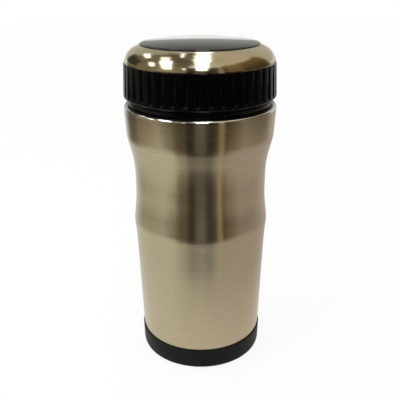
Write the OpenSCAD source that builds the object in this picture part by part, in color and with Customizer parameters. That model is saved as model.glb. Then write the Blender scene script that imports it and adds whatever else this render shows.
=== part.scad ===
// Insulated travel tumbler: a waisted double-wall steel body with a ribbed screw-on lid.
// Millimetres. The origin is the middle of the underside, on the table, and +Z points up.

/* [Steel body] */
// Height of the steel rim above the table
rim_z = 145.2; // [138:0.1:165]
// Outer radius at the steel rim
rim_r = 40.15; // [39:0.05:44]
// Width of the rolled lip, from its outer face to the mouth
lip_w = 2.15; // [2:0.05:2.6]
// Outer radius of the steel just above the base cap
foot_r = 34.3; // [33.6:0.1:36]
// Height of the crest under the waist
crest_z = 81; // [74:0.5:85]
// Outer radius at the crest
crest_r = 37.2; // [36.5:0.1:38.5]
// How far below the crest the wall starts to swell
swell_h = 9.5; // [6:0.5:14]
// Outer radius where the wall starts to swell
swell_r = 36.3; // [35:0.1:36.4]
// Height of the lower end of the waist
waist_z = 94.3; // [91:0.1:98]
// Outer radius at the waist
waist_r = 35.62; // [34.6:0.02:36.4]
// Height of the slope from the waist up to the shoulder
slope_h = 14.3; // [12:0.1:17]
// How far the shoulder lies below the mouth collar
shoulder_below = 2.2; // [1.6:0.1:4]
// How much narrower the shoulder is than the rim
shoulder_in = 0.85; // [0.4:0.05:1]
// Steel thickness of the outer shell
shell_t = 0.6; // [0.4:0.05:0.8]

/* [Liner] */
// Gap between the two walls where the shell is narrowest
vacuum_gap = 1.8; // [1.2:0.1:3.5]
// Steel thickness of the liner
liner_t = 0.5; // [0.4:0.05:0.7]
// Height of the liner's underside
liner_z = 9; // [8:0.1:12]
// Inner corner radius at the liner's floor
liner_corner = 7.5; // [5:0.5:10]
// Height of the weld between the liner's tube and its floor
seam_z = 24; // [21:1:40]
// Height of the flare that widens the liner under the mouth
flare_h = 7; // [5:0.5:9]

/* [Vacuum space] */
// Thickness of the radiation foil
foil_t = 0.15; // [0.1:0.05:0.3]
// Distance that the foil stops short of the flare and of the seam
foil_margin = 3; // [2.5:0.5:10]
// Thickness of the plate that closes the shell's bottom
plate_t = 0.6; // [0.4:0.05:1]
// Height of the rim turned down round that plate
plate_rim_h = 1; // [0.6:0.1:1.4]
// Radius of the hole that the air was drawn out through
vent_r = 0.8; // [0.5:0.1:1.5]
// Radius of the solder bead over that hole
bead_r = 3; // [2.2:0.1:5]
// Height of the solder bead
bead_h = 0.6; // [0.3:0.1:0.7]
// Radius of the getter tablet
getter_r = 4.5; // [3:0.1:6]
// Thickness of the getter tablet
getter_t = 1.6; // [1:0.1:2]
// Distance of the getter from the middle
getter_x = 12; // [8:0.5:16]
// Width of the strip that holds the getter
clip_w = 3; // [2:0.5:5]
// Thickness of that strip
clip_t = 0.4; // [0.3:0.05:0.5]

/* [Base cap] */
// Height of the base cap's upper edge
base_h = 12.6; // [11:0.1:15]
// How far the base cap stands proud of the steel
base_proud = 0.6; // [0.2:0.05:1]
// How much narrower the cap is at its foot
base_taper = 0.35; // [0:0.05:1]
// Wall of the base cap
base_wall = 1.9; // [1.5:0.05:2.2]
// Floor of the base cap
base_floor = 2; // [1.6:0.1:2.4]
// Rounding of the cap's lower edge
base_edge = 2.4; // [1:0.1:3]
// Thickness of the adhesive under the steel shell
bond_h = 0.7; // [0.4:0.05:1]
// Radial width of that adhesive
bond_w = 1.3; // [0.8:0.1:2]
// Radius of the rubber pad
pad_r = 29; // [24:0.5:31]
// Thickness of the rubber pad
pad_t = 1.2; // [0.8:0.1:1.5]
// How far the pad stands below the base cap
pad_proud = 0.4; // [0.2:0.05:0.6]
// Depth of the rings in the pad's underside
pad_ring_depth = 0.3; // [0.1:0.05:0.5]
// Width of those rings
pad_ring_w = 1.2; // [0.6:0.1:2]

/* [Mouth collar] */
// How far the collar's top lies below the rim
collar_drop = 0.2; // [0:0.05:0.5]
// Wall of the collar
collar_wall = 2.15; // [1.6:0.05:2.4]
// Height of the ledge that the seal presses on
ledge_h = 2; // [1.4:0.1:2.4]
// Radial width of that ledge
ledge_w = 2.7; // [2.2:0.1:3.4]

/* [Thread] */
// Rise of the thread in one full turn
thread_lead = 12; // [9:0.5:15]
// Number of thread starts
thread_starts = 3; // [2:1:3]
// Arc covered by each ridge, in degrees
thread_span = 130; // [90:5:150]
// Radial height of the collar's ridges
thread_depth = 1.2; // [0.8:0.05:1.4]
// Width of a ridge at its root
thread_root_w = 1.6; // [1.2:0.05:1.7]
// Width of a ridge at its crest
thread_crest_w = 0.9; // [0.6:0.05:1.1]
// Radial clearance between a crest and the wall facing it
thread_gap = 0.4; // [0.35:0.05:0.5]
// How far above mid-gap the lid's ridges bear
thread_bias = 0.3; // [0:0.05:0.4]
// Distance from the collar's top to the highest ridge
thread_drop = 1.4; // [1:0.1:2]
// Free height between the seal and the lowest ridge
thread_room = 0.75; // [0.3:0.05:2]

/* [Lid plug] */
// Wall of the plug
plug_wall = 1.7; // [1.2:0.1:2]
// Clearance between the plug's nose and the ledge
nose_gap = 1.4; // [1.2:0.1:2]
// How far the nose reaches below the collar
nose_drop = 3; // [2:0.1:4]
// How far the nose's bead stands out, to hold the seal on
nose_bead = 0.9; // [0.5:0.05:1]
// Height of that bead
nose_bead_h = 1; // [0.6:0.1:1.2]
// Thickness of the plug's flange
flange_t = 1.5; // [1.2:0.1:2.5]
// Thickness of the silicone seal
seal_h = 2.8; // [2.2:0.1:3]
// Air gap between the insulation and the deck under the dome
foam_gap = 6.6; // [5:0.1:10]

/* [Lid ring] */
// Gap between the rim and the lid
lid_gap = 1; // [0.7:0.1:1.5]
// Height of the ribbed ring
grip_h = 20.7; // [20:0.1:24]
// How much narrower the ring is than the rim
grip_in = 0.15; // [0:0.05:0.6]
// How much the ring narrows towards its top
grip_taper = 0.75; // [0.3:0.05:1]
// Height of the plain skirt below the ribs
skirt_h = 6.1; // [5:0.1:7]
// How much narrower the skirt is at its lower edge
skirt_in = 2.2; // [1.6:0.1:2.4]
// Distance from the ring's widest part to its bore
grip_wall = 3.4; // [3.1:0.1:3.8]
// Thickness of the lip that carries the plug's flange
grip_lip_t = 2; // [1.5:0.1:2.5]
// Number of ribs round the ring
rib_count = 42; // [36:1:44]
// Angle from the front to the nearest rib, in degrees
rib_phase = 2.7; // [0:0.1:8]
// Radius of the scoop between two ribs
groove_r = 1.5; // [1.2:0.05:1.7]
// Depth of a scoop at its lower end
groove_low = 0.95; // [0.6:0.05:1.1]
// Depth of a scoop at the ring's top
groove_top = 0.4; // [0.25:0.05:0.45]

/* [Dome and disc] */
// How far the dome's edge lies inside the ring's edge
dome_in = 0.45; // [0.4:0.05:0.8]
// Half width of the ellipse that the dome follows
dome_w = 13.3; // [11:0.1:15]
// Half height of that ellipse
dome_h = 10; // [8:0.1:12]
// Radial width of the steel band that shows round the disc
dome_band = 8.1; // [6.5:0.1:10]
// Steel thickness of the dome
dome_t = 0.5; // [0.4:0.05:0.7]
// Thickness of the moulded deck under the dome
deck_t = 1.8; // [1.2:0.1:2.2]
// Depth of the recess pressed for the disc
pan_depth = 0.9; // [0.7:0.05:1.2]
// Thickness of each layer of adhesive tape
tape_t = 0.25; // [0.15:0.05:0.4]
// Gap round the disc
disc_gap = 0.3; // [0.2:0.05:0.6]
// Thickness of the disc at its edge
disc_t = 0.55; // [0.45:0.05:0.9]
// Rise of the disc's crown
disc_crown = 0.8; // [0.3:0.05:1.5]
// Width of the disc's plain border
disc_border = 1.6; // [1:0.1:3]
// Step from that border up to the crowned field
disc_step = 0.15; // [0.05:0.05:0.3]

/* [Hidden] */

facets = 96;
bend_steps = 6;
fit = 0.05;
free = 0.3;
past = 1;
fine_edge = 0.15;
neck_drop = 0.9;
collar_clear = 2;

steel = "#b3a68f";
bright_steel = "#cfc8ba";
black = "#161616";
satin_black = "#242522";
rubber = "#1d1d1d";
foam = "#f2f0ea";
clear_glue = "#d9d2b8";
copper = "#c0805a";

lip_r = lip_w / 2;
lip_z = rim_z - lip_r;
mouth_r = rim_r - lip_w;
neck_r = foot_r + base_proud - base_wall - fit;
neck_z = base_h - neck_drop;
shell_z = pad_proud + base_floor + bond_h + 2 * fit;
plate_z = shell_z + plate_rim_h;
plate_r = neck_r - shell_t - fit;
narrowest_r = min(foot_r, swell_r, crest_r, waist_r);
liner_r = narrowest_r - shell_t - vacuum_gap - liner_t;
liner_floor_z = liner_z + liner_t;

// From the collar's top down: the two threads, the plug's shoulder, the seal and the ledge under it.
collar_top = rim_z - collar_drop;
collar_r = mouth_r - fit;
bore_r = collar_r - collar_wall;
collar_crest_r = bore_r - thread_depth;
core_r = collar_crest_r - thread_gap;
plug_crest_r = bore_r - thread_gap;
pitch = thread_lead / thread_starts;
rise = thread_lead * thread_span / 360;
collar_ridge_z = collar_top - thread_drop - rise;
plug_ridge_z = collar_ridge_z - pitch / 2 + thread_bias;
core_z = plug_ridge_z - thread_root_w / 2 - thread_room;
seal_z = core_z - 2 * fit - seal_h;
ledge_z = seal_z - 2 * fit;
collar_z = ledge_z - ledge_h;
ledge_r = bore_r - ledge_w;
flare_z = collar_z - collar_clear;
shoulder_z = collar_z - shoulder_below;

lid_z = rim_z + lid_gap;
lid_top = lid_z + grip_h;
grip_r = rim_r - grip_in;
grip_top_r = grip_r - grip_taper;
grip_bore_r = grip_r - grip_wall;
rib_z = lid_z + skirt_h;
nose_r = ledge_r - nose_gap;
nose_z = collar_z - nose_drop;
flange_z = lid_z + grip_lip_t + fit;
foam_z = flange_z + flange_t + fit;

dome_edge_r = grip_top_r - dome_in;
dome_mid_r = dome_edge_r - dome_w;
pan_r = dome_edge_r - dome_band;
dome_z = lid_top + fit;
dome_top = arch_z(dome_w, dome_h, pan_r);
pan_z = dome_top - pan_depth;
deck_z = pan_z - dome_t - tape_t;
under_z = deck_z - deck_t;
disc_r = pan_r - disc_gap;
disc_z = pan_z + tape_t;

// Outlines are lists of corners [radius, height, length of the bend at that corner].

function flat(p) = [p[0], p[1]];

function toward(p, q, d) = p + (q - p) * min(d / norm(q - p), 0.49);

function bend(p, q, s, d) =
    let (a = toward(q, p, d), c = toward(q, s, d))
    [for (i = [0:bend_steps]) let (t = i / bend_steps)
        (1 - t) * (1 - t) * a + 2 * t * (1 - t) * q + t * t * c];

function traced(corners) =
    let (n = len(corners))
    [for (i = [0:n - 1])
        each corners[i][2] == 0
            ? [flat(corners[i])]
            : bend(flat(corners[(i + n - 1) % n]), flat(corners[i]),
                   flat(corners[(i + 1) % n]), corners[i][2])];

function moved(corners, dr, dz) = [for (c = corners) [c[0] + dr, c[1] + dz, c[2]]];

function turned_round(list) = [for (i = [len(list) - 1:-1:0]) list[i]];

function arc(mid, r, from, to, steps) =
    [for (i = [0:steps]) let (a = from + (to - from) * i / steps)
        mid + r * [cos(a), sin(a)]];

// The dome's ellipse: its height at a radius, and its points from the edge up to a radius.

function arch_z(w, h, r) = dome_z + h * sin(acos((r - dome_mid_r) / w));

function arch(w, h, r, steps = 12) =
    let (last = acos((r - dome_mid_r) / w))
    [for (i = [0:steps]) let (a = last * i / steps)
        [dome_mid_r + w * cos(a), dome_z + h * sin(a)]];

// The ellipse's width at a height, for a deck that stops there.

function arch_r(w, h, z) = dome_mid_r + w * cos(asin((z - dome_z) / h));

module turned(points) rotate_extrude($fn = facets) polygon(points);

module ring(r_in, r_out, z, h) turned([[r_in, z], [r_out, z], [r_out, z + h], [r_in, z + h]]);

// One thread ridge, swept up a helix; it sinks into its wall at both ends.
module ridge(wall_r, crest_r, z, span) {
    step = 8;
    fade = 16;
    root = wall_r + (wall_r > crest_r ? 0.5 : -0.5);
    hidden = wall_r + (wall_r > crest_r ? 0.1 : -0.1);
    n = ceil(span / step);
    half_root = thread_root_w / 2;
    half_crest = thread_crest_w / 2;
    points = [for (i = [0:n]) let (
            a = span * i / n,
            k = min(1, a / fade, (span - a) / fade),
            top = hidden + (crest_r - hidden) * k,
            mid = z + thread_lead * a / 360)
        each [for (p = [[root, -half_root], [top, -half_crest], [top, half_crest], [root, half_root]])
            [p[0] * cos(a), p[0] * sin(a), mid + p[1]]]];
    sides = [for (i = [0:n - 1], j = [0:3]) let (
            a = 4 * i + j, b = 4 * i + (j + 1) % 4)
        each [[a, b, b + 4], [a, b + 4, a + 4]]];
    ends = [[0, 2, 1], [0, 3, 2], [4 * n, 4 * n + 1, 4 * n + 2], [4 * n, 4 * n + 2, 4 * n + 3]];
    faces = concat(sides, ends);
    polyhedron(points, wall_r > crest_r ? [for (f = faces) [f[0], f[2], f[1]]] : faces);
}

module thread(wall_r, crest_r, z) {
    for (i = [0:thread_starts - 1])
        rotate([0, 0, 360 * i / thread_starts])
            ridge(wall_r, crest_r, z, thread_span);
}

// The steel's outline from the foot to the rim, above the neck that the base cap covers.
body_corners = [
    [swell_r, crest_z - swell_h, 8],
    [crest_r, crest_z, 1.6],
    [waist_r, waist_z, 5],
    [waist_r, shoulder_z - slope_h, 9],
    [rim_r - shoulder_in, shoulder_z, 2]
];

module outer_shell() {
    neck = [[neck_r, shell_z, 0], [neck_r, neck_z, 0.3], [foot_r, base_h + 2 * fit, 0.3]];
    outside = concat(neck, body_corners, [[rim_r, lip_z - fit, 0]]);
    inside = concat(
        [[neck_r - shell_t, shell_z, 0]],
        moved([neck[1], neck[2]], -shell_t, shell_t / 2),
        moved(body_corners, -shell_t, 0),
        [[rim_r - shell_t, lip_z, 0]]);
    color(steel)
        turned(concat(
            traced(outside),
            arc([rim_r - lip_r, lip_z], lip_r, 0, 180, 12),
            traced(turned_round(inside))));
}

module inner_liner() {
    tube = [
        [liner_r, seam_z, 0], [liner_r, flare_z - flare_h, 2],
        [mouth_r, flare_z, 2], [mouth_r, lip_z, 0]];
    outside = concat(
        [[liner_r + liner_t, seam_z, 0]],
        moved([tube[1], tube[2]], liner_t, -liner_t / 3),
        [[mouth_r + liner_t, lip_z, 0]]);
    color(bright_steel)
        turned(concat(traced(tube), traced(turned_round(outside))));
}

module liner_floor() {
    mid = [liner_r - liner_corner, liner_floor_z + liner_corner];
    color(bright_steel)
        turned(concat(
            [[0, liner_z]],
            arc(mid, liner_corner + liner_t, -90, 0, 10),
            [[liner_r + liner_t, seam_z], [liner_r, seam_z]],
            arc(mid, liner_corner, 0, -90, 10),
            [[0, liner_floor_z]]));
}

module radiation_foil() {
    z = seam_z + foil_margin;
    inner = liner_r + liner_t + fit;
    color(copper)
        ring(inner, inner + foil_t, z, flare_z - flare_h - foil_margin - z);
}

module bottom_plate() {
    color(bright_steel)
        turned([
            [vent_r, plate_z], [plate_r - plate_t, plate_z], [plate_r - plate_t, shell_z],
            [plate_r, shell_z], [plate_r, plate_z + plate_t], [vent_r, plate_z + plate_t]]);
}

module vacuum_seal() {
    color(bright_steel)
        turned([
            [0, plate_z - bead_h], [bead_r / 2, plate_z - bead_h * 0.8],
            [bead_r * 0.85, plate_z - bead_h * 0.4], [bead_r, plate_z], [0, plate_z]]);
}

module getter() {
    color("#5c5c5e")
        translate([getter_x, 0, liner_z - fit - getter_t])
            cylinder(h = getter_t, r = getter_r, $fn = facets);
}

module getter_clip() {
    low = liner_z - 2 * fit - getter_t - clip_t;
    inside = getter_r + fit;
    outside = inside + clip_t;
    foot = 2;
    color(bright_steel)
        translate([getter_x, 0, 0]) {
            translate([-clip_w / 2, -outside, low])
                cube([clip_w, 2 * outside, clip_t]);
            for (side = [-1, 1])
                translate([-clip_w / 2, side > 0 ? inside : -outside - foot, 0]) {
                    translate([0, side > 0 ? 0 : foot, low])
                        cube([clip_w, clip_t, liner_z - low]);
                    translate([0, 0, liner_z - clip_t])
                        cube([clip_w, foot + clip_t, clip_t]);
                }
        }
}

module mouth_collar() {
    edge = 0.5;
    color(black)
        union() {
            turned(traced([
                [ledge_r, collar_z, 0], [collar_r, collar_z, edge], [collar_r, collar_top, edge / 2],
                [bore_r, collar_top, edge], [bore_r, ledge_z, 0], [ledge_r, ledge_z, edge / 2]]));
            thread(bore_r, collar_crest_r, collar_ridge_z);
        }
}

module base_cap() {
    low_r = foot_r + base_proud - base_taper;
    top_r = foot_r + base_proud;
    bore = neck_r + fit;
    floor_top = pad_proud + base_floor;
    pad_seat = pad_t + fit;
    color(satin_black)
        turned(traced([
            [0, pad_seat, 0], [pad_r + fit, pad_seat, 0], [pad_r + fit, pad_proud, 0],
            [low_r, pad_proud, base_edge], [top_r, base_h, 0.3], [foot_r + fit, base_h, 0],
            [bore, neck_z - free, 0], [bore, floor_top, 0], [0, floor_top, 0]]));
}

module base_bond() {
    color(clear_glue)
        ring(neck_r - bond_w, neck_r, pad_proud + base_floor + fit, bond_h);
}

module foot_pad() {
    rings = 3;
    spacing = pad_r / (rings + 1);
    color(rubber)
        difference() {
            turned(traced([[0, 0, 0], [pad_r, 0, 0.3], [pad_r, pad_t, 0], [0, pad_t, 0]]));
            for (i = [1:rings])
                translate([0, 0, -past])
                    ring(i * spacing, i * spacing + pad_ring_w, 0, past + pad_ring_depth);
        }
}

// The seal is a flat ring with two fine sealing ridges underneath.
module plug_seal() {
    inner = nose_r + free;
    lip = 0.5;
    w = core_r - inner;
    color("#8f8a80")
        turned([
            [inner, seal_z + lip], [inner + w * 0.3, seal_z + lip], [inner + w * 0.4, seal_z],
            [inner + w * 0.55, seal_z + lip], [inner + w * 0.7, seal_z + lip], [inner + w * 0.85, seal_z],
            [core_r, seal_z + lip], [core_r, seal_z + seal_h], [inner, seal_z + seal_h]]);
}

module lid_plug() {
    bead_top = seal_z - free;
    bead_z = bead_top - nose_bead_h;
    flange_r = grip_bore_r - fit;
    step_z = core_z + plug_wall;
    color(black)
        union() {
            turned(traced([
                [0, nose_z, 0], [nose_r, nose_z, 1.5], [nose_r, bead_z, 0],
                [nose_r + nose_bead, bead_z + nose_bead_h / 2, 0], [nose_r, bead_top, 0],
                [nose_r, core_z, 0], [core_r, core_z, 0.3], [core_r, flange_z, 0],
                [flange_r, flange_z, 0], [flange_r, flange_z + flange_t, 0],
                [core_r - plug_wall, flange_z + flange_t, 0], [core_r - plug_wall, step_z, 0],
                [nose_r - plug_wall, step_z, 0], [nose_r - plug_wall, nose_z + plug_wall, 0.8],
                [0, nose_z + plug_wall, 0]]));
            thread(core_r, plug_crest_r, plug_ridge_z);
        }
}

module plug_insulation() {
    low_r = nose_r - plug_wall - free;
    mid_r = core_r - plug_wall - free;
    top_r = grip_bore_r - free;
    top = under_z - foam_gap;
    step_z = core_z + plug_wall + fit;
    low = nose_z + plug_wall + fit;
    color(foam)
        turned(traced([
            [0, low, 0], [low_r, low, 1.5], [low_r, step_z, 0], [mid_r, step_z, 0],
            [mid_r, foam_z, 0], [top_r, foam_z, 0], [top_r, top, 2.5], [0, top, 0]]));
}

// The ring's wall and the deck that carries the steel dome are one moulding.
module grip_blank() {
    inset = dome_t + free;
    deck_w = dome_w - inset;
    deck_h = dome_h - inset;
    under_w = deck_w - deck_t;
    under_h = deck_h - deck_t;
    wall = traced([
        [core_r + 2 * fit, lid_z, 0], [grip_r - skirt_in, lid_z, 0.4],
        [grip_r - skirt_in * 0.75, lid_z + skirt_h * 0.3, 1],
        [grip_r, rib_z - 1.4, 2.6], [grip_top_r, lid_top, 0.3],
        [dome_mid_r + deck_w, lid_top, 0]]);
    turned(concat(
        wall,
        arch(deck_w, deck_h, arch_r(deck_w, deck_h, deck_z)),
        [[0, deck_z], [0, under_z]],
        turned_round(arch(under_w, under_h, arch_r(under_w, under_h, under_z))),
        [[grip_bore_r, dome_z - 2], [grip_bore_r, lid_z + grip_lip_t],
         [core_r + 2 * fit, lid_z + grip_lip_t]]));
}

module lid_grip() {
    run = lid_top - rib_z;
    lean = atan((grip_taper + groove_top - groove_low) / run);
    color(black)
        difference() {
            grip_blank();
            for (i = [0:rib_count - 1])
                rotate([0, 0, rib_phase - 90 + (i + 0.5) * 360 / rib_count])
                    translate([grip_r - groove_low + groove_r, 0, rib_z + groove_r])
                        rotate([0, -lean, 0]) {
                            cylinder(h = run + past, r = groove_r, $fn = 24);
                            sphere(r = groove_r, $fn = 24);
                        }
        }
}

module dome_bond() {
    color(clear_glue)
        ring(pan_r / 2, pan_r - 1, deck_z, tape_t);
}

module lid_dome() {
    hidden_r = pan_r + dome_t;
    color(bright_steel)
        turned(concat(
            arch(dome_w, dome_h, pan_r + fine_edge),
            [[pan_r, dome_top - fine_edge], [pan_r, pan_z], [0, pan_z], [0, pan_z - dome_t],
             [hidden_r, pan_z - dome_t]],
            turned_round(arch(dome_w - dome_t, dome_h - dome_t, hidden_r))));
}

module disc_bond() {
    color(clear_glue)
        ring(pan_r / 2, disc_r - 1, pan_z, tape_t);
}

module disc_inlay() {
    edge_z = disc_z + disc_t;
    field_r = disc_r - disc_border;
    steps = 8;
    color(black)
        turned(concat(
            [[0, disc_z], [disc_r, disc_z], [disc_r, edge_z - fine_edge], [disc_r - fine_edge, edge_z],
             [field_r, edge_z]],
            [for (i = [0:steps]) let (r = field_r * (1 - i / steps))
                [r, edge_z + disc_step + disc_crown * (1 - (r / field_r) * (r / field_r))]]));
}

outer_shell();
inner_liner();
liner_floor();
radiation_foil();
bottom_plate();
vacuum_seal();
getter();
getter_clip();
mouth_collar();
base_cap();
base_bond();
foot_pad();
plug_seal();
lid_plug();
plug_insulation();
lid_grip();
dome_bond();
lid_dome();
disc_bond();
disc_inlay();
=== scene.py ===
import math

import bpy
from mathutils import Matrix, Vector


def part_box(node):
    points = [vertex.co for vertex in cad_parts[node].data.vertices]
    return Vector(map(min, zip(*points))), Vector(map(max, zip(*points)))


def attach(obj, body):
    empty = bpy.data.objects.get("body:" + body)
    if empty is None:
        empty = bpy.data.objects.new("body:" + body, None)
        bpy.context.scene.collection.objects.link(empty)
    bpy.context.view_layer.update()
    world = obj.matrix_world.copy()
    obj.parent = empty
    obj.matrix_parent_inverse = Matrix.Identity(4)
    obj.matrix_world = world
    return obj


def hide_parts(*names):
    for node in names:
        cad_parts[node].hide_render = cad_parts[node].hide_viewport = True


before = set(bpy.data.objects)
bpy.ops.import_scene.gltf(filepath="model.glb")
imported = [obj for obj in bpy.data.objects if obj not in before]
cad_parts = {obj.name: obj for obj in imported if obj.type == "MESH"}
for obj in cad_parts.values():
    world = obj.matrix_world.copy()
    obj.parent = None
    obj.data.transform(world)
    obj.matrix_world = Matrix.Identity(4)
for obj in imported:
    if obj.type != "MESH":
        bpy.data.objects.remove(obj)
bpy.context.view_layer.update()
print("frame loaded:", len(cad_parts), "nodes")

mm = 0.001                 # outlines below are in millimetres
smoothEdge = 32            # edges sharper than this many degrees stay sharp
tiny = 1e-6                # a length too short to matter
longestBend = 0.49         # how much of an edge the bend at one of its ends may take


def spanOf(node):
    # a CAD node's lowest and highest point and its radius, in millimetres
    low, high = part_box(node)
    return [round(v / mm, 2) for v in (low.z, high.z, high.x)]


# outlines and meshes

def towards(start, end, distance):
    # the point that far from start, but never past the middle of the way to end
    share = min(distance / math.dist(start, end), longestBend)
    return [a + (b - a) * share for a, b in zip(start, end)]


def traceCorners(corners, steps):
    # each corner is (radius, height, length of the bend there), and the outline is closed
    points = []
    for i, (radius, height, bend) in enumerate(corners):
        here = (radius, height)
        if not bend:
            points.append(here)
            continue
        start = towards(here, corners[i - 1][:2], bend)
        end = towards(here, corners[(i + 1) % len(corners)][:2], bend)
        for k in range(steps + 1):
            t = k / steps
            first, second, third = (1 - t) ** 2, 2 * t * (1 - t), t * t
            points.append(tuple(first * a + second * b + third * c for a, b, c in zip(start, here, end)))
    return points


def arcPoints(centre, radius, fromDeg, toDeg, steps=16):
    angles = [math.radians(fromDeg + (toDeg - fromDeg) * i / steps) for i in range(steps + 1)]
    return [(centre[0] + radius * math.cos(a), centre[1] + radius * math.sin(a)) for a in angles]


def meshObject(name, verts, faces):
    mesh = bpy.data.meshes.new(name)
    mesh.from_pydata([Vector(v) * mm for v in verts], [], faces)
    mesh.validate()
    mesh.shade_smooth()
    mesh.set_sharp_from_angle(angle=math.radians(smoothEdge))
    made = bpy.data.objects.new(name, mesh)
    bpy.context.scene.collection.objects.link(made)
    return made


def turnOutline(outline, columns=256, radiusAt=None):
    # the closed outline turned round Z; radiusAt may change a point's radius by its angle
    verts, rings = [], []
    for radius, height in outline:
        if radius < tiny:      # on the axis it is one point, not a ring
            rings.append([len(verts)])
            verts.append((0, 0, height))
            continue
        ring = []
        for k in range(columns):
            angle = 2 * math.pi * k / columns
            reach = radiusAt(radius, height, angle) if radiusAt else radius
            ring.append(len(verts))
            verts.append((reach * math.cos(angle), reach * math.sin(angle), height))
        rings.append(ring)
    faces = []
    for i, ring in enumerate(rings):
        above = rings[(i + 1) % len(rings)]
        if len(ring) == 1 and len(above) == 1:
            continue
        for k in range(columns):
            n = (k + 1) % columns
            corners = ring[k % len(ring)], ring[n % len(ring)], above[n % len(above)], above[k % len(above)]
            faces.append(list(dict.fromkeys(corners)))
    return verts, faces


def finishPiece(piece, body, slotName, material, *nodes):
    piece.data.materials.append(material)
    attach(piece, body)
    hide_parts(*nodes)


# materials

# the Mix node's sockets, whose names repeat for numbers and colours
mixBy, numberA, numberB, colourA, colourB = 0, 2, 3, 6, 7
mixedNumber, mixedColour = 0, 2
noiseLow, noiseHigh = 0.3, 0.7      # a noise lies mostly between these


def toLinear(hexColour):
    channels = [int(hexColour[i:i + 2], 16) / 255 for i in (1, 3, 5)]
    return [c / 12.92 if c <= 0.04045 else ((c + 0.055) / 1.055) ** 2.4 for c in channels] + [1]


def addNode(tree, kind, inputs=None, links=None, **settings):
    node = tree.nodes.new(kind)
    for key, value in settings.items():
        setattr(node, key, value)
    for key, value in (inputs or {}).items():
        node.inputs[key].default_value = value
    for key, source in (links or {}).items():
        tree.links.new(source, node.inputs[key])
    return node


def startMaterial(name):
    material = bpy.data.materials.new(name)
    material.use_nodes = True
    material.node_tree.nodes.clear()
    return material, material.node_tree


def startSurface(name, shader):
    material, tree = startMaterial(name)
    surface = addNode(tree, "ShaderNodeBsdfPrincipled", shader)
    addNode(tree, "ShaderNodeOutputMaterial", links={"Surface": surface.outputs["BSDF"]})
    return material, tree, surface


def varySurface(tree, surface, pattern, tones, roughness, bump=None):
    # one pattern drives the colour between two tones, the roughness between two values and a fine bump, given
    # as its strength and its height in millimetres
    ends = {colourA: toLinear(tones[0]), colourB: toLinear(tones[1])}
    tint = addNode(tree, "ShaderNodeMix", ends, {mixBy: pattern}, data_type="RGBA")
    tree.links.new(tint.outputs[mixedColour], surface.inputs["Base Color"])
    ends = {"To Min": roughness[0], "To Max": roughness[1]}
    gloss = addNode(tree, "ShaderNodeMapRange", ends, {"Value": pattern})
    tree.links.new(gloss.outputs["Result"], surface.inputs["Roughness"])
    if bump:
        depth = {"Strength": bump[0], "Distance": bump[1] * mm}
        relief = addNode(tree, "ShaderNodeBump", depth, {"Height": pattern})
        tree.links.new(relief.outputs["Normal"], surface.inputs["Normal"])


def stretched(tree, noise):
    # spreads a noise over 0 to 1, so that both tones are reached
    ends = {"From Min": noiseLow, "From Max": noiseHigh}
    return addNode(tree, "ShaderNodeMapRange", ends, {"Value": noise}).outputs["Result"]


def turnedStreaks(tree, spacing, length):
    # noise stretched round Z, as a brushing belt or a lathe leaves it; sizes in millimetres. It changes
    # slowly from side to side, and fast with the height less the radius, so that level faces get rings too
    place = addNode(tree, "ShaderNodeTexCoord").outputs["Object"]
    height = addNode(tree, "ShaderNodeSeparateXYZ", links={"Vector": place}).outputs["Z"]
    flat = addNode(tree, "ShaderNodeVectorMath", {1: (1, 1, 0)}, {0: place}, operation="MULTIPLY")
    flat = flat.outputs["Vector"]
    radius = addNode(tree, "ShaderNodeVectorMath", links={0: flat}, operation="LENGTH").outputs["Value"]
    rise = addNode(tree, "ShaderNodeMath", links={0: height, 1: radius}, operation="SUBTRACT")
    slow, fast = 1 / (length * mm), 1 / (spacing * mm)
    along = addNode(tree, "ShaderNodeVectorMath", {1: (slow,) * 3}, {0: flat}, operation="MULTIPLY")
    across = addNode(tree, "ShaderNodeMath", {1: fast}, {0: rise.outputs["Value"]}, operation="MULTIPLY")
    lifted = addNode(tree, "ShaderNodeCombineXYZ", links={"Z": across.outputs["Value"]})
    both = {0: along.outputs["Vector"], 1: lifted.outputs["Vector"]}
    where = addNode(tree, "ShaderNodeVectorMath", links=both, operation="ADD").outputs["Vector"]
    noise = addNode(tree, "ShaderNodeTexNoise", {"Scale": 1.0, "Detail": 1.0}, {"Vector": where})
    return stretched(tree, noise.outputs["Fac"])


def grainNoise(tree, size, detail=2.0):
    # even grain of that size in millimetres
    place = addNode(tree, "ShaderNodeTexCoord").outputs["Object"]
    fineness = {"Scale": 1 / (size * mm), "Detail": detail}
    noise = addNode(tree, "ShaderNodeTexNoise", fineness, {"Vector": place})
    return stretched(tree, noise.outputs["Fac"])


def brushRound(tree, surface):
    # lines that run round Z draw the reflections out along the height
    tangent = addNode(tree, "ShaderNodeTangent", direction_type="RADIAL", axis="Z")
    tree.links.new(tangent.outputs["Tangent"], surface.inputs["Tangent"])


# the lip is buffed after it is rolled, so it is lighter and sharper from this deep under the rim up; the
# lighter tone is partly that buffing and partly a painted highlight along the rim
buffedLipAndHighlight = {"depth": 1.6, "fade": 0.4, "roughness": 0.12, "tone": "#e2e0da"}


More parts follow.
